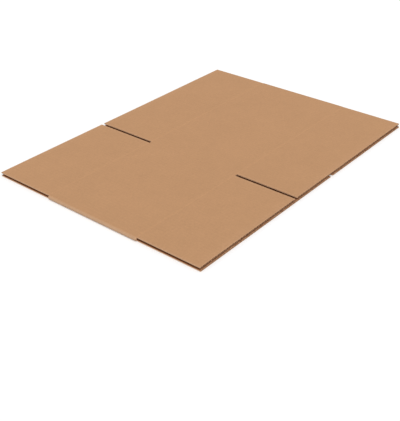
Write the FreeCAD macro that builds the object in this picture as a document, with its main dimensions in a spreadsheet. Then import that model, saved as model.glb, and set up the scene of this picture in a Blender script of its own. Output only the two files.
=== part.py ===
import FreeCAD, Part
import Sketcher
import math
import os

# A shipping carton of single-wall corrugated board, folded flat as it is stored.
# The sheet is folded at two opposite corners of the box, so it lies in two layers.
# X runs across the panels, Y runs along the height of the box, Z is up.
# The origin is the middle of the underside.

SIZES = {
    # inside of the box when it is set up
    "inside_length": 330.2,
    "inside_width": 228.6,
    "inside_height": 177.8,
    # corrugated board
    "board": 2.8,
    "liner": 0.25,
    "medium": 0.2,
    "flute_pitch": 6.35,
    "crushed_length": 5.0,
    # cuts and scores
    "slot_width": 6.0,
    "crease_width": 4.0,
    "crease_depth": 0.45,
    # glued corner
    "tab_width": 34.0,
    "tab_thickness": 1.2,
    "tab_clearance": 0.3,
    "tab_inset": 4.0,
    "tab_taper": 8.0,
    "joint_gap": 2.0,
}

# Lengths worked out from the sheet, as expressions
BOARD = "sizes.board"
SLOT = "sizes.slot_width"
LONG_PANEL = "(sizes.inside_length + sizes.board)"
SHORT_PANEL = "(sizes.inside_width + sizes.board)"
FLAT_WIDTH = f"({LONG_PANEL} + {SHORT_PANEL})"
WALL_HEIGHT = "(sizes.inside_height + 2 * sizes.board)"
FLAP_LENGTH = "((sizes.inside_width + sizes.board) / 2)"
LAYER_GAP = "(sizes.tab_thickness + sizes.tab_clearance)"
STACK_HEIGHT = f"(2 * sizes.board + {LAYER_GAP})"
UPPER_LAYER = f"(sizes.board + {LAYER_GAP})"

# Where each layer changes from one panel to the next, measured from the middle
LOWER_CORNER = f"({LONG_PANEL} - {FLAT_WIDTH} / 2)"
UPPER_CORNER = f"({SHORT_PANEL} - {FLAT_WIDTH} / 2)"

# A score is a round groove, so its radius follows from its width and its depth
SCORE_RADIUS = (
    "((sizes.crease_width ^ 2 / 4 + sizes.crease_depth ^ 2) / (2 * sizes.crease_depth))"
)
SCORE_RISE = f"({SCORE_RADIUS} - sizes.crease_depth)"

ALONG_X = FreeCAD.Rotation(FreeCAD.Vector(0, 1, 0), 90)
ALONG_Y = FreeCAD.Rotation(FreeCAD.Vector(1, 0, 0), -90)
WEDGE_ALONG_X = FreeCAD.Rotation(FreeCAD.Vector(0, 0, 1), -90)

NODE = "flattened_box"

doc = FreeCAD.newDocument("flattened_box")


# Size sheet

def make_sheet():
    sheet = doc.addObject("Spreadsheet::Sheet", "sizes")
    for row, (alias, value) in enumerate(SIZES.items(), start=1):
        sheet.set(f"A{row}", alias)
        sheet.set(f"B{row}", str(value))
        sheet.setAlias(f"B{row}", alias)
    doc.recompute()
    return sheet


sizes = make_sheet()


def bind(thing, **expressions):
    """Tie properties of an object to the sheet; base_x, base_y and base_z set its place."""
    for name, expression in expressions.items():
        target = name.replace("base_", "Placement.Base.")
        thing.setExpression(target, str(expression))


def block(name, x_from, x_to, y_from, y_to, z_from, z_to):
    """A box between two corners, each given as an expression."""
    solid = doc.addObject("Part::Box", name)
    bind(
        solid,
        Length=f"{x_to} - ({x_from})",
        Width=f"{y_to} - ({y_from})",
        Height=f"{z_to} - ({z_from})",
        base_x=x_from,
        base_y=y_from,
        base_z=z_from,
    )
    return solid


# Walls: two layers joined by a half-round fold at each side

def add_oblong(sketch, label, centres, radius):
    """A closed outline of two lines and two half circles, centred on the sketch's origin."""
    # A first outline of the right shape, which the constraints then bring to size
    half_span = 100.0
    start_radius = 2.0
    top = FreeCAD.Vector(0, start_radius, 0)
    left = FreeCAD.Vector(-half_span, 0, 0)
    right = FreeCAD.Vector(half_span, 0, 0)
    normal = FreeCAD.Vector(0, 0, 1)
    quarter = math.pi / 2
    upper_line = sketch.addGeometry(Part.LineSegment(right + top, left + top))
    left_arc = sketch.addGeometry(
        Part.ArcOfCircle(Part.Circle(left, normal, start_radius), quarter, 3 * quarter)
    )
    lower_line = sketch.addGeometry(Part.LineSegment(left - top, right - top))
    right_arc = sketch.addGeometry(
        Part.ArcOfCircle(Part.Circle(right, normal, start_radius), -quarter, quarter)
    )
    first, second, centre = 1, 2, 3
    origin, x_axis = -1, -1
    for one, one_end, other, other_end in (
        (upper_line, second, left_arc, first),
        (left_arc, second, lower_line, first),
        (lower_line, second, right_arc, first),
        (right_arc, second, upper_line, first),
    ):
        sketch.addConstraint(Sketcher.Constraint("Tangent", one, one_end, other, other_end))
    sketch.addConstraint(Sketcher.Constraint("Horizontal", lower_line))
    sketch.addConstraint(Sketcher.Constraint("PointOnObject", left_arc, centre, x_axis))
    sketch.addConstraint(
        Sketcher.Constraint("Symmetric", left_arc, centre, right_arc, centre, origin, first)
    )
    span = sketch.addConstraint(
        Sketcher.Constraint("DistanceX", left_arc, centre, right_arc, centre, 2 * half_span)
    )
    size = sketch.addConstraint(Sketcher.Constraint("Radius", left_arc, start_radius))
    sketch.renameConstraint(span, f"{label}_span")
    sketch.renameConstraint(size, f"{label}_radius")
    sketch.setExpression(f"Constraints.{label}_span", centres)
    sketch.setExpression(f"Constraints.{label}_radius", radius)


def make_walls():
    body = doc.addObject("PartDesign::Body", "walls")
    across = next(plane for plane in body.Origin.OriginFeatures if plane.Role == "XZ_Plane")
    section = body.newObject("Sketcher::SketchObject", "wall_section")
    section.AttachmentSupport = [(across, "")]
    section.MapMode = "FlatFace"
    section.setExpression("AttachmentOffset.Base.y", f"{STACK_HEIGHT} / 2")
    add_oblong(section, "outside", f"{FLAT_WIDTH} - {STACK_HEIGHT}", f"{STACK_HEIGHT} / 2")
    add_oblong(section, "inside", f"{FLAT_WIDTH} - {STACK_HEIGHT}", f"{LAYER_GAP} / 2")
    doc.recompute()
    pad = body.newObject("PartDesign::Pad", "wall_pad")
    pad.Profile = section
    pad.SideType = "Symmetric"
    pad.setExpression("Length", WALL_HEIGHT)
    doc.recompute()
    return body


# Glued corner: the tab lies inside, between the layers, and the seam is on the underside

def make_tab():
    tab = doc.addObject("Part::Wedge", "glue_tab")
    half_root = f"({WALL_HEIGHT} / 2 - sizes.tab_inset)"
    half_tip = f"({WALL_HEIGHT} / 2 - sizes.tab_inset - sizes.tab_taper)"
    bind(
        tab,
        Xmin=f"-{half_root}",
        Xmax=half_root,
        X2min=f"-{half_tip}",
        X2max=half_tip,
        Ymin="-sizes.joint_gap",
        Ymax="sizes.joint_gap + sizes.tab_width",
        Zmin=0,
        Zmax="sizes.tab_thickness",
        Z2min=0,
        Z2max="sizes.tab_thickness",
    )
    tab.Placement.Rotation = WEDGE_ALONG_X
    bind(tab, base_x=LOWER_CORNER, base_z=BOARD)
    return tab


def make_seam():
    return block(
        "seam",
        LOWER_CORNER, f"{LOWER_CORNER} + sizes.joint_gap",
        f"-{WALL_HEIGHT} / 2", f"{WALL_HEIGHT} / 2",
        f"-{BOARD}", BOARD,
    )


# Flaps: each is fluted board, open at its free end and along its cut sides

def flute_triangle(middle, base, tip, half_width):
    corners = [
        FreeCAD.Vector(middle - half_width, 0, base),
        FreeCAD.Vector(middle + half_width, 0, base),
        FreeCAD.Vector(middle, 0, tip),
    ]
    return Part.Face(Part.makePolygon(corners + corners[:1]))


def make_flutes(name, x_from, x_to, y_from, y_to, z_from):
    """The hollows above and below the wavy medium, for one flap."""
    floor = z_from + sizes.liner
    ceiling = z_from + sizes.board - sizes.liner
    rise = ceiling - floor - sizes.medium
    count = round((x_to - x_from) / sizes.flute_pitch)
    pitch = (x_to - x_from) / count
    web = sizes.medium * math.hypot(pitch / 2, rise) / rise
    half_width = (pitch - web) / 2
    hollows = []
    for step in range(2 * count + 1):
        middle = x_from + step * pitch / 2
        if step % 2:
            face = flute_triangle(middle, ceiling, ceiling - rise, half_width)
        else:
            face = flute_triangle(middle, floor, floor + rise, half_width)
        face.translate(FreeCAD.Vector(0, y_from, 0))
        hollows.append(face.extrude(FreeCAD.Vector(0, y_to - y_from, 0)))
    flutes = doc.addObject("Part::Feature", name)
    flutes.Shape = Part.makeCompound(hollows)
    return flutes


def make_flap(layer, side, end, x_from, x_to, z_from):
    """One flap's board and its flutes. End is 1 towards +Y and -1 towards -Y."""
    name = f"{layer}_{side}_{'far' if end > 0 else 'near'}"
    wall = f"{WALL_HEIGHT} / 2"
    tip = f"({wall} + {FLAP_LENGTH})"
    y_from, y_to = (wall, tip) if end > 0 else (f"-{tip}", f"-{wall}")
    flap = block(f"{name}_flap", x_from, x_to, y_from, y_to, z_from, f"{z_from} + {BOARD}")
    doc.recompute()
    box = flap.Shape.BoundBox
    past_crease = end * sizes.crushed_length
    flutes = make_flutes(
        f"{name}_flutes", box.XMin, box.XMax, box.YMin + past_crease, box.YMax + past_crease, box.ZMin
    )
    return flap, flutes


def make_flaps():
    half_slot = f"{SLOT} / 2"
    edge = f"{FLAT_WIDTH} / 2"
    pairs = []
    for layer, corner, z_from in (("lower", LOWER_CORNER, "0"), ("upper", UPPER_CORNER, UPPER_LAYER)):
        left = (f"-{edge} + {half_slot}", f"{corner} - {half_slot}")
        right = (f"{corner} + {half_slot}", f"{edge} - {half_slot}")
        for end in (-1, 1):
            pairs.append(make_flap(layer, "left", end, *left, z_from))
            pairs.append(make_flap(layer, "right", end, *right, z_from))
    flaps, flutes = zip(*pairs)
    return list(flaps), list(flutes)


# Scores: shallow round grooves pressed into the outer faces

def make_score(name, turn, length, **place):
    score = doc.addObject("Part::Cylinder", name)
    score.Placement.Rotation = turn
    bind(score, Radius=SCORE_RADIUS, Height=length, **place)
    return score


def make_scores():
    scores = []
    for level, height in (("under", f"-{SCORE_RISE}"), ("top", f"{STACK_HEIGHT} + {SCORE_RISE}")):
        for side, sign in (("near", "-"), ("far", "")):
            scores.append(make_score(
                f"{level}_{side}_crease", ALONG_X, FLAT_WIDTH,
                base_x=f"-{FLAT_WIDTH} / 2", base_y=f"{sign}{WALL_HEIGHT} / 2", base_z=height,
            ))
    scores.append(make_score(
        "corner_score", ALONG_Y, WALL_HEIGHT,
        base_x=UPPER_CORNER, base_y=f"-{WALL_HEIGHT} / 2", base_z=f"{STACK_HEIGHT} + {SCORE_RISE}",
    ))
    return scores


# Whole box: one folded sheet, with the flutes hollowed out of its flaps

def combine(kind, name, parts):
    whole = doc.addObject(kind, name)
    if kind == "Part::Compound":
        whole.Links = parts
    else:
        whole.Shapes = parts
    return whole


def cut(name, base, tool):
    result = doc.addObject("Part::Cut", name)
    result.Base = base
    result.Tool = tool
    return result


def make_box():
    flaps, flutes = make_flaps()
    sheet = combine("Part::MultiFuse", "folded_sheet", [make_walls(), make_tab()] + flaps)
    lines = combine("Part::MultiFuse", "scores_and_seam", make_scores() + [make_seam()])
    scored_sheet = cut("scored_sheet", sheet, lines)
    hollows = combine("Part::Compound", "all_flutes", flutes)
    box = cut(NODE, scored_sheet, hollows)
    box.Label = NODE
    return box


def check_document():
    for thing in doc.Objects:
        if "Invalid" in thing.State or "Error" in thing.State:
            raise RuntimeError(f"{thing.Name} failed: {thing.State}")


def save_part(part):
    shape = part.Shape
    if shape.isNull() or not shape.isValid() or len(shape.Solids) != 1:
        raise RuntimeError(f"{part.Label} isn't one valid solid")
    os.makedirs("parts", exist_ok=True)
    shape.exportStep(f"parts/{part.Label}.step")
    box = shape.BoundBox
    print(part.Label, "volume", round(shape.Volume), "faces", len(shape.Faces))
    print("size", round(box.XLength, 3), round(box.YLength, 3), round(box.ZLength, 3))


flattened_box = make_box()
doc.recompute()
check_document()
save_part(flattened_box)
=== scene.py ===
import math

import bpy
import numpy as np
from mathutils import Matrix, Vector


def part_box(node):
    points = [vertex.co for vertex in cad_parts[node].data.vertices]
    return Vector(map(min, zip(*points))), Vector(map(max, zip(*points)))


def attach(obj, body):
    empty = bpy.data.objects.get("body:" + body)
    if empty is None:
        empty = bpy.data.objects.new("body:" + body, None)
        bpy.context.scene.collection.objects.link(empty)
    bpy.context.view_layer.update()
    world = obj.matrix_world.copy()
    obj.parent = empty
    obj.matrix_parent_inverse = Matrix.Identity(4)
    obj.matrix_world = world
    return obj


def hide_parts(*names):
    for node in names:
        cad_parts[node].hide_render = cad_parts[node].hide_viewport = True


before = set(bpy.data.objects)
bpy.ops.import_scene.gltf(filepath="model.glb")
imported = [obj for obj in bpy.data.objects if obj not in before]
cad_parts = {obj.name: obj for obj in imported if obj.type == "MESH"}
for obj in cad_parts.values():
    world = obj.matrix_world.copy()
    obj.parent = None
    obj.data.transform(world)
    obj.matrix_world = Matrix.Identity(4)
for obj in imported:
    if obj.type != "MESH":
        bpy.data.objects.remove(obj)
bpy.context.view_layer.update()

# Lengths are in millimetres until a mesh is made
MM = 0.001
NODE = "flattened_box"

# Overall size, from the frame
LOW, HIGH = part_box(NODE)
HALF_WIDTH = (HIGH.x - LOW.x) / 2 / MM
HALF_DEPTH = (HIGH.y - LOW.y) / 2 / MM
THICKNESS = (HIGH.z - LOW.z) / MM

# The sheet, as in the solid
LONG_PANEL = 333.0
HALF_WALL = 91.7
BOARD = 2.8
LINER = 0.25
MEDIUM = 0.2
FLUTE_PITCH = 6.35
CRUSHED_LENGTH = 5.0
SLOT = 6.0
JOINT_GAP = 2.0
TAB_WIDTH = 34.0
TAB_THICKNESS = 1.2
TAB_INSET = 4.0
TAB_TAPER = 8.0

UPPER, LOWER = 1, -1
CORNER = {UPPER: HALF_WIDTH - LONG_PANEL, LOWER: LONG_PANEL - HALF_WIDTH}
FLAP_LENGTH = HALF_DEPTH - HALF_WALL

# Each fold is a half circle. A place along a layer is its distance from the middle, round the fold too
FOLD_RADIUS = THICKNESS / 2
STRAIGHT = HALF_WIDTH - FOLD_RADIUS
FLAP_SIDE = STRAIGHT + FOLD_RADIUS * math.asin((HALF_WIDTH - SLOT / 2 - STRAIGHT) / FOLD_RADIUS)

# How the board is pressed at the creases and cut edges: on its outer and inner face, and how far in
CREASE_OUTER, CREASE_INNER, CREASE_REACH = 0.3, 0.3, 1.5
SIDE_OUTER, SIDE_REACH = 0.06, 1.6
SIDE_INNER = {UPPER: 0.95, LOWER: 1.4}
END_OUTER, END_INNER, END_REACH = 0.05, 0.5, 1.2

# The board rises a little beside a crease, at this distance from it
SHOULDER_RISE, SHOULDER_PLACE, SHOULDER_REACH = 0.04, 4.2, 1.6

# How far the paler wear reaches in from a cut edge
WEAR_REACH = 1.2

# The slow unevenness of each layer: its depth, and where its waves start
SWELL_DEPTH = {UPPER: 0.14, LOWER: 0.08}
SWELL_PHASE = {UPPER: 0.9, LOWER: 2.4}
SWELL_ALONG, SWELL_ACROSS = 61.0, 47.0
SLANT_ALONG, SLANT_ACROSS, SLANT_SHARE = 33.0, 71.0, 0.6
ACROSS_PHASE, SLANT_PHASE = 1.7, 2.3

# How far the free ends of the upper flaps drop, left and right flap, and how unevenly
FLAP_DROP = (0.14, 0.1)
TWIST_SHARE, TWIST_LENGTH = 0.35, 90.0
TWIST_PHASE_FAR, TWIST_PHASE_NEAR = 0.6, 2.1

# How much shorter the flaps of each layer are cut than the longest, at the far and the near end
FAR_TRIM = {UPPER: 0.0, LOWER: 0.6}
NEAR_TRIM = {UPPER: 1.0, LOWER: 0.0}


# Shape of the folded sheet

def by_layer(layer, values):
    """The value of its layer for each place."""
    return np.where(layer == UPPER, values[UPPER], values[LOWER])


def swell(layer, along, across):
    """The slow unevenness: how far a place lies in from the flat, toward the other layer."""
    phase = by_layer(layer, SWELL_PHASE)
    wave = (
        np.sin(phase) * np.sin(along / SWELL_ALONG + phase)
        + np.sin(across / SWELL_ACROSS + ACROSS_PHASE * phase)
        + SLANT_SHARE * np.sin(along / SLANT_ALONG - across / SLANT_ACROSS + SLANT_PHASE * phase)
    )
    most = 2 + SLANT_SHARE
    return by_layer(layer, SWELL_DEPTH) * (0.5 + wave / (2 * most))


def fading(distance, reach):
    """1 at no distance, fading out smoothly past the reach."""
    return np.exp(-((distance / reach) ** 2))


def from_side(along, corner):
    """Distance into a flap from its nearest cut side, at the slot or beside the fold."""
    return np.minimum(np.abs(along - corner) - SLOT / 2, FLAP_SIDE - np.abs(along))


def pressed(layer, along, across):
    """How far the outer and the inner face are pressed in at a place of the sheet."""
    past_crease = np.abs(across) - HALF_WALL
    in_flap = past_crease > 0
    crease = fading(past_crease, CREASE_REACH)
    shoulder = fading(np.abs(past_crease) - SHOULDER_PLACE, SHOULDER_REACH)
    outer = CREASE_OUTER * crease - SHOULDER_RISE * shoulder
    inner = CREASE_INNER * crease
    corner = by_layer(layer, CORNER)
    score = fading(along - corner, CREASE_REACH) * (layer == UPPER) * ~in_flap
    outer = np.maximum(outer, CREASE_OUTER * score)
    inner = np.maximum(inner, CREASE_INNER * score)
    cut_side = np.exp(-np.maximum(from_side(along, corner), 0) / SIDE_REACH) * in_flap
    cut_end = np.exp(-(HALF_DEPTH - np.abs(across)) / END_REACH)
    outer = outer + SIDE_OUTER * cut_side + END_OUTER * cut_end
    inner = inner + by_layer(layer, SIDE_INNER) * cut_side + END_INNER * cut_end
    return outer, inner


def worn_ends(across):
    """1 on the free end of a flap, fading out within a few millimetres."""
    return np.exp(-(HALF_DEPTH - np.abs(across)) / WEAR_REACH)


def worn_sides(layer, along, across):
    """1 on the cut side of a flap, fading out within a few millimetres."""
    side = np.maximum(from_side(along, by_layer(layer, CORNER)), 0)
    return np.exp(-side / WEAR_REACH) * (np.abs(across) > HALF_WALL)


def flap_share(across):
    """0 at the crease and on the walls, 1 at the free end of a flap."""
    return np.clip((np.abs(across) - HALF_WALL) / FLAP_LENGTH, 0, 1)


def flap_trim(layer, across):
    """How much of a place's distance across is taken off, most at the free end of a flap."""
    trim = np.where(across > 0, by_layer(layer, FAR_TRIM), -by_layer(layer, NEAR_TRIM))
    return flap_share(across) * trim


def flap_drop(layer, along, across):
    """How far the upper flaps sink, bending down toward their free ends."""
    share = flap_share(across)
    bend = share * (2 * share + 1) / 3
    drop = np.where(along < CORNER[UPPER], *FLAP_DROP)
    phase = np.where(across > 0, TWIST_PHASE_FAR, TWIST_PHASE_NEAR)
    twist = 1 + TWIST_SHARE * np.sin(along / TWIST_LENGTH + phase)
    return bend * twist * drop * (layer == UPPER)


def place(layer, along, across, depth):
    """Where a point of the sheet is. Depth is measured in from the outer face."""
    outer, inner = pressed(layer, along, across)
    share = depth / BOARD
    depth = depth + outer * (1 - share) - inner * share
    turn = np.maximum(np.abs(along) - STRAIGHT, 0) / FOLD_RADIUS
    radius = FOLD_RADIUS - depth
    x = np.sign(along) * (np.minimum(np.abs(along), STRAIGHT) + radius * np.sin(turn))
    z = FOLD_RADIUS + layer * radius * np.cos(turn)
    flatness = np.cos(turn) ** 2
    z = z - layer * flatness * swell(layer, along, across) - flap_drop(layer, along, across)
    return np.stack([x, across - flap_trim(layer, across), z], axis=-1) * MM


# Meshes

SHARP_ANGLE = math.radians(40)

# Distances between grid lines, closer at the cut edges, creases and folds
SIDE_LIP = 1.4
SIDE_STEPS = (0.0, 0.3, 0.8, SIDE_LIP, 2.4, 4.0)
END_STEPS = (0.0, 0.25, 0.8, 2.0)
SCORE_STEPS = (0.0, 0.5, 1.0, 1.6, 2.3)
CREASE_STEPS = (0.0, 0.4, 0.9, 1.5, 2.2, 3.2, 4.2, 5.0, 6.5, 9.0)
FOLD_STEPS = 7
COLUMN_SPACING, ROW_SPACING = 7.0, 14.0
TAB_COLUMN_SPACING, TAB_ROW_SPACING = 4.0, 12.0
FLUTE_ROW_SPACING = 26.0

# The wavy medium: points in a wave, where its waves start, how far it runs into the shut board,
# and how far short of the free end it stops
FLUTE_STEPS = 10
FLUTE_PHASE = 0.8
FLUTE_OVERLAP_SIDE, FLUTE_OVERLAP_ROOT = 0.4, 1.0
FLUTE_SETBACK = 0.12


def stations(marks, spacing):
    """Places that include every mark, no further apart than the spacing."""
    marks = np.unique(np.round(marks, 6))
    spans = [
        np.linspace(start, end, int(math.ceil((end - start) / spacing)) + 1)[:-1]
        for start, end in zip(marks[:-1], marks[1:])
    ]
    return np.concatenate(spans + [marks[-1:]])


def add_mesh(name, points, faces, materials, material_of_face, wear=None):
    """A piece of the carton, with only the points that its faces use."""
    mesh = bpy.data.meshes.new(name)
    used, compact = np.unique(faces, return_inverse=True)
    mesh.from_pydata(points[used].tolist(), [], compact.reshape(faces.shape).tolist())
    if wear is not None:
        mesh.attributes.new("wear", "FLOAT", "POINT").data.foreach_set("value", wear[used])
    for material in materials:
        mesh.materials.append(material)
    mesh.polygons.foreach_set("material_index", material_of_face)
    mesh.polygons.foreach_set("use_smooth", np.ones(len(faces), bool))
    mesh.set_sharp_from_angle(angle=SHARP_ANGLE)
    mesh.update()
    piece = bpy.data.objects.new(name, mesh)
    bpy.context.scene.collection.objects.link(piece)
    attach(piece, "root")
    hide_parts(NODE)
    return piece


def shell(layer, along, across, keep, outer_depth, inner_depth, loop=False):
    """A closed skin over the kept cells of a grid of columns (along) and rows (across).

    Returns its points, its faces and whether each face is a cut edge.
    """
    columns, rows = len(along), len(across)
    grid_layer = np.repeat(layer[:, None], rows, axis=1)
    grid_along = np.repeat(along[:, None], rows, axis=1)
    grid_across = np.repeat(across[None, :], columns, axis=0)
    surfaces = [
        place(grid_layer, grid_along, grid_across, np.broadcast_to(depth, (rows, columns)).T)
        for depth in (outer_depth, inner_depth)
    ]
    points = np.concatenate([surface.reshape(-1, 3) for surface in surfaces])
    inside = columns * rows

    def index(column, row):
        return (column % columns) * rows + row

    padded = np.zeros((keep.shape[0] + 2, keep.shape[1] + 2), bool)
    padded[1:-1, 1:-1] = keep
    if loop:
        padded[0, 1:-1] = keep[-1]
        padded[-1, 1:-1] = keep[0]
    column, row = np.nonzero(keep)
    corners = [
        index(column, row), index(column + 1, row), index(column + 1, row + 1), index(column, row + 1)
    ]
    outer = np.stack(corners, axis=1)
    faces = [outer, outer[:, ::-1] + inside]
    beside = [
        padded[column + 1, row], padded[column + 2, row + 1],
        padded[column + 1, row + 2], padded[column, row + 1],
    ]
    for side in range(4):
        open_side = ~beside[side]
        start, end = corners[side][open_side], corners[(side + 1) % 4][open_side]
        faces.append(np.stack([end, start, start + inside, end + inside], axis=1))
    cut = np.concatenate([np.full(len(part), number > 1) for number, part in enumerate(faces)])
    return points, np.concatenate(faces), cut


def joined(shells):
    """Several skins as one."""
    points, faces, cuts, start = [], [], [], 0
    for part_points, part_faces, part_cut in shells:
        points.append(part_points)
        faces.append(part_faces + start)
        cuts.append(part_cut)
        start += len(part_points)
    return np.concatenate(points), np.concatenate(faces), np.concatenate(cuts)


def spread(middle, offsets):
    """Places at these distances on both sides of a middle."""
    return [middle + side * offset for offset in offsets for side in (-1, 1)]


def layer_columns(layer, extra=()):
    """Columns of one layer, from the middle of one fold to the middle of the other."""
    fold = [STRAIGHT + FOLD_RADIUS * math.pi / 2 * step / FOLD_STEPS for step in range(FOLD_STEPS + 1)]
    marks = [side * mark for mark in fold for side in (-1, 1)]
    marks += [side * (FLAP_SIDE - step) for step in SIDE_STEPS for side in (-1, 1)]
    marks += spread(CORNER[layer], [SLOT / 2 + step for step in SIDE_STEPS])
    marks += spread(CORNER[layer], SCORE_STEPS)
    marks += list(extra)
    return stations(marks, COLUMN_SPACING)


def sleeve_columns():
    """Columns right round the sleeve: the upper layer to the right, then the lower layer back."""
    upper = layer_columns(UPPER)
    lower = layer_columns(LOWER, (CORNER[LOWER] + JOINT_GAP,))[::-1][1:-1]
    layer = np.concatenate([np.full(len(upper), UPPER), np.full(len(lower), LOWER)])
    return layer, np.concatenate([upper, lower])


def sleeve_rows():
    """Rows from the free ends of the near flaps to those of the far flaps."""
    marks = [side * (HALF_DEPTH - step) for step in END_STEPS for side in (-1, 1)]
    marks += spread(HALF_WALL, CREASE_STEPS) + spread(-HALF_WALL, CREASE_STEPS)
    return stations(marks, ROW_SPACING)


def sheet_cells(layer, along, across):
    """Which cells are board, and which of them are pressed shut between the liners.

    Board leaves out the slots, the seam and the strips beside the folds at the flaps. It is shut
    from crease to crease and along the cut sides of the flaps.
    """
    cell_layer = np.minimum(layer, np.roll(layer, -1))[:, None]
    middle = (along + np.roll(along, -1))[:, None] / 2
    middle_across = (across[1:] + across[:-1])[None, :] / 2
    corner = by_layer(cell_layer, CORNER)
    in_wall = np.abs(middle_across) < HALF_WALL
    in_seam = (cell_layer == LOWER) & (middle > corner) & (middle < corner + JOINT_GAP)
    side = from_side(middle, corner)
    board = np.where(in_wall, ~in_seam, side > 0)
    shut = (np.abs(middle_across) < HALF_WALL + CRUSHED_LENGTH) | (side < SIDE_LIP)
    return board, board & shut


def make_liners(outside, shaded_inside_face, edge):
    """The paper on the two faces of the board, all round the sleeve."""
    layer, along = sleeve_columns()
    across = sleeve_rows()
    board, _ = sheet_cells(layer, along, across)
    ends = np.broadcast_to(worn_ends(across), (len(along), len(across)))
    sides = worn_sides(layer[:, None], along[:, None], across[None, :])
    # The inner liner takes the inside material, whose dark brown is painted shade
    for name, depths, surface, wear in (
        ("outer_liner", (0.0, LINER), outside, np.maximum(sides, ends)),
        ("inner_liner", (BOARD - LINER, BOARD), shaded_inside_face, ends),
    ):
        points, faces, cut = shell(layer, along, across, board, *depths, loop=True)
        add_mesh(name, points, faces, [surface, edge], cut.astype(int), np.tile(wear.ravel(), 2))


def make_core(edge):
    """The board between the liners, where it is shut and its flutes can't be seen."""
    layer, along = sleeve_columns()
    across = sleeve_rows()
    _, shut = sheet_cells(layer, along, across)
    points, faces, _ = shell(layer, along, across, shut, LINER, BOARD - LINER, loop=True)
    add_mesh("shut_core", points, faces, [edge], np.zeros(len(faces), int))


def flute_depths(along):
    """Outer and inner face of the wavy medium, of even thickness."""
    height = BOARD / 2 - LINER - MEDIUM / 2
    turn = 2 * math.pi / FLUTE_PITCH
    middle = BOARD / 2 + height * np.cos(turn * along + FLUTE_PHASE)
    slope = height * turn * np.sin(turn * along + FLUTE_PHASE)
    half = MEDIUM / 2 * np.sqrt(1 + slope**2)
    return np.maximum(middle - half, LINER), np.minimum(middle + half, BOARD - LINER)


def make_flutes(material):
    """The medium of each flap, from just inside the shut board to just short of the free end."""
    shells = []
    inset = SIDE_LIP - FLUTE_OVERLAP_SIDE
    root = HALF_WALL + CRUSHED_LENGTH - FLUTE_OVERLAP_ROOT
    marks = [root, HALF_WALL + CREASE_STEPS[-1], HALF_DEPTH - 1, HALF_DEPTH - FLUTE_SETBACK]
    rows = stations(marks, FLUTE_ROW_SPACING)
    for layer in (UPPER, LOWER):
        for start, end in (
            (-FLAP_SIDE + inset, CORNER[layer] - SLOT / 2 - inset),
            (CORNER[layer] + SLOT / 2 + inset, FLAP_SIDE - inset),
        ):
            along = stations([start, end], FLUTE_PITCH / FLUTE_STEPS)
            if layer == LOWER:
                along = along[::-1]
            layers = np.full(len(along), layer)
            for across in (rows, -rows[::-1]):
                keep = np.ones((len(along) - 1, len(across) - 1), bool)
                shells.append(shell(layers, along, across, keep, *flute_depths(along)))
    points, faces, _ = joined(shells)
    add_mesh("fluted_medium", points, faces, [material], np.zeros(len(faces), int))


def make_tab(surface, edge):
    """The glue tab lies on the inside of the lower layer and bridges the seam."""
    root = CORNER[LOWER]
    marks = [root - JOINT_GAP, root, root + JOINT_GAP + TAB_WIDTH]
    along = stations(marks, TAB_COLUMN_SPACING)[::-1]
    half_root = HALF_WALL - TAB_INSET
    across = stations([-half_root, half_root], TAB_ROW_SPACING)
    layer = np.full(len(along), LOWER)
    keep = np.ones((len(along) - 1, len(across) - 1), bool)
    points, faces, cut = shell(layer, along, across, keep, BOARD, BOARD + TAB_THICKNESS)
    share = (points[:, 0] / MM - root) / (JOINT_GAP + TAB_WIDTH)
    points[:, 1] *= 1 - np.clip(share, 0, 1) * TAB_TAPER / half_root
    add_mesh("glue_tab", points, faces, [surface, edge], cut.astype(int))


# Materials

def srgb(red, green, blue):
    """A colour as it is seen, 0 to 255, in the linear values that a shader takes."""
    values = [channel / 255 for channel in (red, green, blue)]
    return [v / 12.92 if v <= 0.04045 else ((v + 0.055) / 1.055) ** 2.4 for v in values]


TOP_KRAFT = srgb(190, 145, 106)
# Paler kraft on the folds: partly stretched paper, partly painted light that brightens the folds,
# which face away from the light
FOLD_KRAFT_STRETCHED_AND_PAINTED_LIGHT = srgb(197, 159, 126)
# The inner liner gets a dark brown that is painted shade. The real inside paper is about as pale as
# the outside; this dark stands for the shade in the gap between the layers, in the slots and on the
# glue tab
INNER_KRAFT_PAINTED_SHADE = srgb(122, 72, 38)
EDGE_KRAFT = srgb(208, 167, 133)
MEDIUM_KRAFT = srgb(184, 141, 108)

# Wear on a cut edge: how much of the pale colour shows, and how far that varies from clump to clump
WEAR_SHARE, WEAR_FRAY = 0.45, 1.0

NOISE_ROUGHNESS = 0.55

# Mottling of the liners: the size of each kind in millimetres and its shift of the brightness
CLOUD_SIZE, CLOUD_SHIFT = 90, 0.035
BLOTCH_SIZE, BLOTCH_SHIFT = 16, 0.04
CLUMP_SIZE, CLUMP_SHIFT, CLUMP_RISE = 3.5, 0.09, 0.3
FIBRE_SIZE, FIBRE_SHIFT, FIBRE_RISE = 0.3, 0.12, 0.25
SPECK_SIZE, SPECK_SHIFT, SPECK_LEVEL = 1.1, -0.12, 0.74
RIDGE_SHIFT, RIDGE_RISE = 0.008, 0.35
# A painted light band along each crease, brightening the liner to offset the shade in the crease
# groove: its shift of the brightness and its reach in millimetres
PAINTED_CREASE_LIGHT, PAINTED_LIGHT_CREASE_REACH = 0.04, 2.4
LINER_RELIEF = 0.06

# Cut board and bare medium: sizes and relief in millimetres
TORN_FIBRE_SIZE, TORN_CLUMP_SIZE, TORN_RELIEF = 0.5, 3, 0.1


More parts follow.
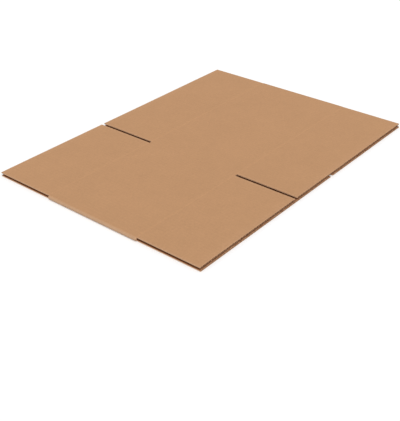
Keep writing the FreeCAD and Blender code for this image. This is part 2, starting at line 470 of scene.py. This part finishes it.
class Nodes:
    """A short way to write a material's nodes."""

    def __init__(self, name):
        self.material = bpy.data.materials.new(name)
        self.material.use_nodes = True
        self.tree = self.material.node_tree
        self.shader = self.tree.nodes["Principled BSDF"]
        self.place = self.add("ShaderNodeTexCoord").outputs["Object"]

    def add(self, kind, **settings):
        node = self.tree.nodes.new(kind)
        for key, value in settings.items():
            setattr(node, key, value)
        return node

    def join(self, value, socket):
        if isinstance(value, bpy.types.NodeSocket):
            self.tree.links.new(value, socket)
        else:
            socket.default_value = value

    def math(self, operation, *values):
        node = self.add("ShaderNodeMath", operation=operation)
        for number, value in enumerate(values):
            self.join(value, node.inputs[number])
        return node.outputs[0]

    def noise(self, size, detail, stretch=(1, 1, 1)):
        """Noise with features of about this size in millimetres, stretched along each axis."""
        mapping = self.add("ShaderNodeMapping")
        self.join(self.place, mapping.inputs["Vector"])
        mapping.inputs["Scale"].default_value = [1 / (size * MM * times) for times in stretch]
        node = self.add("ShaderNodeTexNoise")
        self.join(mapping.outputs[0], node.inputs["Vector"])
        node.inputs["Scale"].default_value = 1.0
        node.inputs["Detail"].default_value = detail
        node.inputs["Roughness"].default_value = NOISE_ROUGHNESS
        return node.outputs["Fac"]

    def around_zero(self, value, size):
        """A noise value made to vary by this much, up and down."""
        return self.math("MULTIPLY", self.math("SUBTRACT", value, 0.5), 2 * size)

    def total(self, *values):
        result = values[0]
        for value in values[1:]:
            result = self.math("ADD", result, value)
        return result

    def ridges(self):
        """The faint lines over the flutes: 1 on a line, -1 between two."""
        parts = self.add("ShaderNodeSeparateXYZ")
        self.join(self.place, parts.inputs[0])
        turn = 2 * math.pi / (FLUTE_PITCH * MM)
        return self.math("COSINE", self.math("MULTIPLY", parts.outputs["X"], turn))

    def paint(self, colour, brightness):
        node = self.add("ShaderNodeVectorMath", operation="SCALE")
        self.join(colour, node.inputs[0])
        self.join(brightness, node.inputs["Scale"])
        self.join(node.outputs[0], self.shader.inputs["Base Color"])

    def bump(self, height, distance):
        node = self.add("ShaderNodeBump")
        self.join(height, node.inputs["Height"])
        node.inputs["Distance"].default_value = distance * MM
        node.inputs["Strength"].default_value = 1.0
        self.join(node.outputs[0], self.shader.inputs["Normal"])

    def matte(self, roughness=0.88, specular=0.22):
        self.shader.inputs["Roughness"].default_value = roughness
        self.shader.inputs["Specular IOR Level"].default_value = specular


# Where a Mix node has its sockets for colours, after those for numbers and vectors
MIX_FIRST, MIX_SECOND, MIX_RESULT = 6, 7, 2


def blend_colours(nodes, factor, first, second):
    """A mix of two colours, each a list or another node's output."""
    mix = nodes.add("ShaderNodeMix", data_type="RGBA")
    nodes.join(factor, mix.inputs["Factor"])
    for colour, number in ((first, MIX_FIRST), (second, MIX_SECOND)):
        nodes.join([*colour, 1.0] if isinstance(colour, list) else colour, mix.inputs[number])
    return mix.outputs[MIX_RESULT]


def liner_material(name, colour, fold_colour_stretched_and_painted_light, wear_colour, mottle):
    """Kraft paper, mottled, paler round the folds (partly stretched paper, partly painted light where
    the folds face away from the light), with a painted light band along the creases, and frayed at the
    worn edges.
    """
    nodes = Nodes(name)
    parts = nodes.add("ShaderNodeSeparateXYZ")
    nodes.join(nodes.place, parts.inputs[0])
    from_fold = nodes.math("SUBTRACT", nodes.math("ABSOLUTE", parts.outputs["X"]), STRAIGHT * MM)
    at_fold = nodes.add("ShaderNodeMapRange")
    nodes.join(from_fold, at_fold.inputs["Value"])
    at_fold.inputs["From Min"].default_value = 0.0
    at_fold.inputs["From Max"].default_value = FOLD_RADIUS * MM
    wear = nodes.add("ShaderNodeAttribute", attribute_name="wear").outputs["Fac"]
    cloud = nodes.noise(CLOUD_SIZE, detail=3)
    blotch = nodes.noise(BLOTCH_SIZE, detail=2)
    clump = nodes.noise(CLUMP_SIZE, detail=4, stretch=(1.3, 1, 1))
    fibre = nodes.noise(FIBRE_SIZE, detail=2, stretch=(6, 1, 1))
    speck = nodes.noise(SPECK_SIZE, detail=1, stretch=(1.5, 1, 1))
    dark_speck = nodes.math("GREATER_THAN", speck, SPECK_LEVEL)
    # Painted light: the liner is brightened within a few millimetres of each crease, to offset the
    # shade of the groove
    from_crease = nodes.math(
        "ABSOLUTE",
        nodes.math("SUBTRACT", nodes.math("ABSOLUTE", parts.outputs["Y"]), HALF_WALL * MM),
    )
    painted_crease_light_mask = nodes.add("ShaderNodeMapRange", interpolation_type="SMOOTHSTEP")
    nodes.join(from_crease, painted_crease_light_mask.inputs["Value"])
    painted_crease_light_mask.inputs["From Min"].default_value = PAINTED_LIGHT_CREASE_REACH * MM
    painted_crease_light_mask.inputs["From Max"].default_value = 0.0
    brightness = nodes.total(
        nodes.around_zero(cloud, CLOUD_SHIFT * mottle),
        nodes.around_zero(blotch, BLOTCH_SHIFT * mottle),
        nodes.around_zero(clump, CLUMP_SHIFT * mottle),
        nodes.around_zero(fibre, FIBRE_SHIFT * mottle),
        nodes.math("MULTIPLY", dark_speck, SPECK_SHIFT),
        nodes.math("MULTIPLY", nodes.ridges(), RIDGE_SHIFT),
        nodes.math("MULTIPLY", painted_crease_light_mask.outputs[0], PAINTED_CREASE_LIGHT),
        1.0,
    )
    # Partly painted light: the folds are paler than the flat, partly for the stretched paper, partly
    # to brighten their sideways faces
    bent_and_painted_light = blend_colours(nodes, at_fold.outputs[0], colour, fold_colour_stretched_and_painted_light)
    fray = nodes.total(nodes.around_zero(clump, WEAR_FRAY), WEAR_SHARE)
    frayed = nodes.math("MULTIPLY", wear, fray)
    nodes.paint(blend_colours(nodes, frayed, bent_and_painted_light, wear_colour), brightness)
    height = nodes.total(
        nodes.math("MULTIPLY", nodes.ridges(), RIDGE_RISE),
        nodes.around_zero(fibre, FIBRE_RISE),
        nodes.around_zero(clump, CLUMP_RISE),
    )
    nodes.bump(height, LINER_RELIEF)
    nodes.matte()
    return nodes.material


def rough_material(name, colour, variation):
    """Cut board and bare medium: coarse, torn fibres."""
    nodes = Nodes(name)
    fibre = nodes.noise(TORN_FIBRE_SIZE, detail=3, stretch=(1, 4, 1))
    clump = nodes.noise(TORN_CLUMP_SIZE, detail=2)
    brightness = nodes.total(
        nodes.around_zero(fibre, variation), nodes.around_zero(clump, variation), 1.0
    )
    nodes.paint(colour, brightness)
    nodes.bump(fibre, TORN_RELIEF)
    nodes.matte(roughness=0.95, specular=0.1)
    return nodes.material


# Stage, light and camera

def seen_directly(tree):
    """1 for rays that show the background: from the camera, or by way of a gloss or a glass."""
    path = tree.nodes.new("ShaderNodeLightPath")
    result = path.outputs["Is Camera Ray"]
    for name in ("Is Glossy Ray", "Is Transmission Ray"):
        node = tree.nodes.new("ShaderNodeMath")
        node.operation = "MAXIMUM"
        tree.links.new(result, node.inputs[0])
        tree.links.new(path.outputs[name], node.inputs[1])
        result = node.outputs[0]
    return result


WORLD_LIGHT = 0.57
FLOOR_ALBEDO = 0.86
FLOOR_LIFT = 0.2
FLOOR_HALF, FLOOR_HEIGHT = 15.0, -0.0002
KEY_POWER = 1.6
KEY_SPREAD = math.radians(36)
KEY_PLACE = (-0.75, -1.2, 2.05)


def make_world():
    """Even white light, behind a white backdrop."""
    world = bpy.data.worlds.new("studio")
    world.use_nodes = True
    tree = world.node_tree
    tree.nodes.clear()
    light = tree.nodes.new("ShaderNodeBackground")
    light.inputs["Strength"].default_value = WORLD_LIGHT
    backdrop = tree.nodes.new("ShaderNodeBackground")
    backdrop.inputs["Strength"].default_value = 1.0
    for background in (light, backdrop):
        background.inputs["Color"].default_value = (1, 1, 1, 1)
    mix = tree.nodes.new("ShaderNodeMixShader")
    tree.links.new(seen_directly(tree), mix.inputs[0])
    tree.links.new(light.outputs[0], mix.inputs[1])
    tree.links.new(backdrop.outputs[0], mix.inputs[2])
    output = tree.nodes.new("ShaderNodeOutputWorld")
    tree.links.new(mix.outputs[0], output.inputs["Surface"])
    bpy.context.scene.world = world


def make_floor():
    """A pale floor that takes the shadow and otherwise shows as white."""
    mesh = bpy.data.meshes.new("floor")
    around = ((-1, -1), (1, -1), (1, 1), (-1, 1))
    corners = [(FLOOR_HALF * x, FLOOR_HALF * y, FLOOR_HEIGHT) for x, y in around]
    mesh.from_pydata(corners, [], [(0, 1, 2, 3)])
    floor = bpy.data.objects.new("floor", mesh)
    bpy.context.scene.collection.objects.link(floor)
    material = bpy.data.materials.new("floor")
    material.use_nodes = True
    tree = material.node_tree
    tree.nodes.clear()
    diffuse = tree.nodes.new("ShaderNodeBsdfDiffuse")
    diffuse.inputs["Color"].default_value = (FLOOR_ALBEDO, FLOOR_ALBEDO, FLOOR_ALBEDO, 1)
    lift = tree.nodes.new("ShaderNodeEmission")
    strength = tree.nodes.new("ShaderNodeMath")
    strength.operation = "MULTIPLY"
    strength.inputs[1].default_value = FLOOR_LIFT
    tree.links.new(seen_directly(tree), strength.inputs[0])
    tree.links.new(strength.outputs[0], lift.inputs["Strength"])
    both = tree.nodes.new("ShaderNodeAddShader")
    tree.links.new(diffuse.outputs[0], both.inputs[0])
    tree.links.new(lift.outputs[0], both.inputs[1])
    output = tree.nodes.new("ShaderNodeOutputMaterial")
    tree.links.new(both.outputs[0], output.inputs["Surface"])
    mesh.materials.append(material)


def make_key_light():
    """A broad, soft sun from the side of the camera."""
    light = bpy.data.lights.new("key", "SUN")
    light.angle = KEY_SPREAD
    light.energy = KEY_POWER
    lamp = bpy.data.objects.new("key", light)
    bpy.context.scene.collection.objects.link(lamp)
    lamp.location = KEY_PLACE
    lamp.rotation_euler = Vector(KEY_PLACE).to_track_quat("Z", "Y").to_euler()


# The photograph's view: 400 by 421 pixels, focal length in pixels, place in metres
PHOTO_LONG_SIDE = 421
FOCAL_PIXELS = 788.6
CAMERA_PLACE = (-0.9277, -0.7480, 0.6213)
CAMERA_AZIMUTH, CAMERA_ELEVATION, CAMERA_ROLL = -50.19, 31.89, -0.58


def make_camera():
    """The camera at its place. Azimuth turns its view from +Y, elevation is how far it looks down."""
    azimuth, elevation, roll = (
        math.radians(angle) for angle in (CAMERA_AZIMUTH, CAMERA_ELEVATION, CAMERA_ROLL)
    )
    back = Vector((
        math.sin(azimuth) * math.cos(elevation),
        -math.cos(azimuth) * math.cos(elevation),
        math.sin(elevation),
    ))
    level = Vector((math.cos(azimuth), math.sin(azimuth), 0))
    upright = back.cross(level)
    right = math.cos(roll) * level + math.sin(roll) * upright
    up = back.cross(right)
    camera = bpy.data.cameras.new("camera")
    camera.sensor_width = 36.0
    camera.lens = FOCAL_PIXELS / PHOTO_LONG_SIDE * camera.sensor_width
    camera.clip_start = 0.01
    holder = bpy.data.objects.new("camera", camera)
    bpy.context.scene.collection.objects.link(holder)
    holder.matrix_world = Matrix.LocRotScale(
        Vector(CAMERA_PLACE), Matrix((right, up, back)).transposed(), None
    )
    bpy.context.scene.camera = holder


def make_carton():
    outside = liner_material("kraft_outside", TOP_KRAFT, FOLD_KRAFT_STRETCHED_AND_PAINTED_LIGHT, EDGE_KRAFT, mottle=1.0)
    # The inside material's dark brown is painted shade for the gap between the layers, the slots and
    # the glue tab
    shaded_inside_face = liner_material("kraft_inside_painted_shade", INNER_KRAFT_PAINTED_SHADE, INNER_KRAFT_PAINTED_SHADE, EDGE_KRAFT, mottle=1.3)
    edge = rough_material("cut_board", EDGE_KRAFT, variation=0.1)
    medium = rough_material("fluting_paper", MEDIUM_KRAFT, variation=0.12)
    make_liners(outside, shaded_inside_face, edge)
    make_core(edge)
    make_flutes(medium)
    # The glue tab takes the inside material, dark with painted shade
    make_tab(shaded_inside_face, edge)


make_carton()
make_world()
make_floor()
make_key_light()
make_camera()
bpy.context.scene.view_settings.view_transform = "Standard"
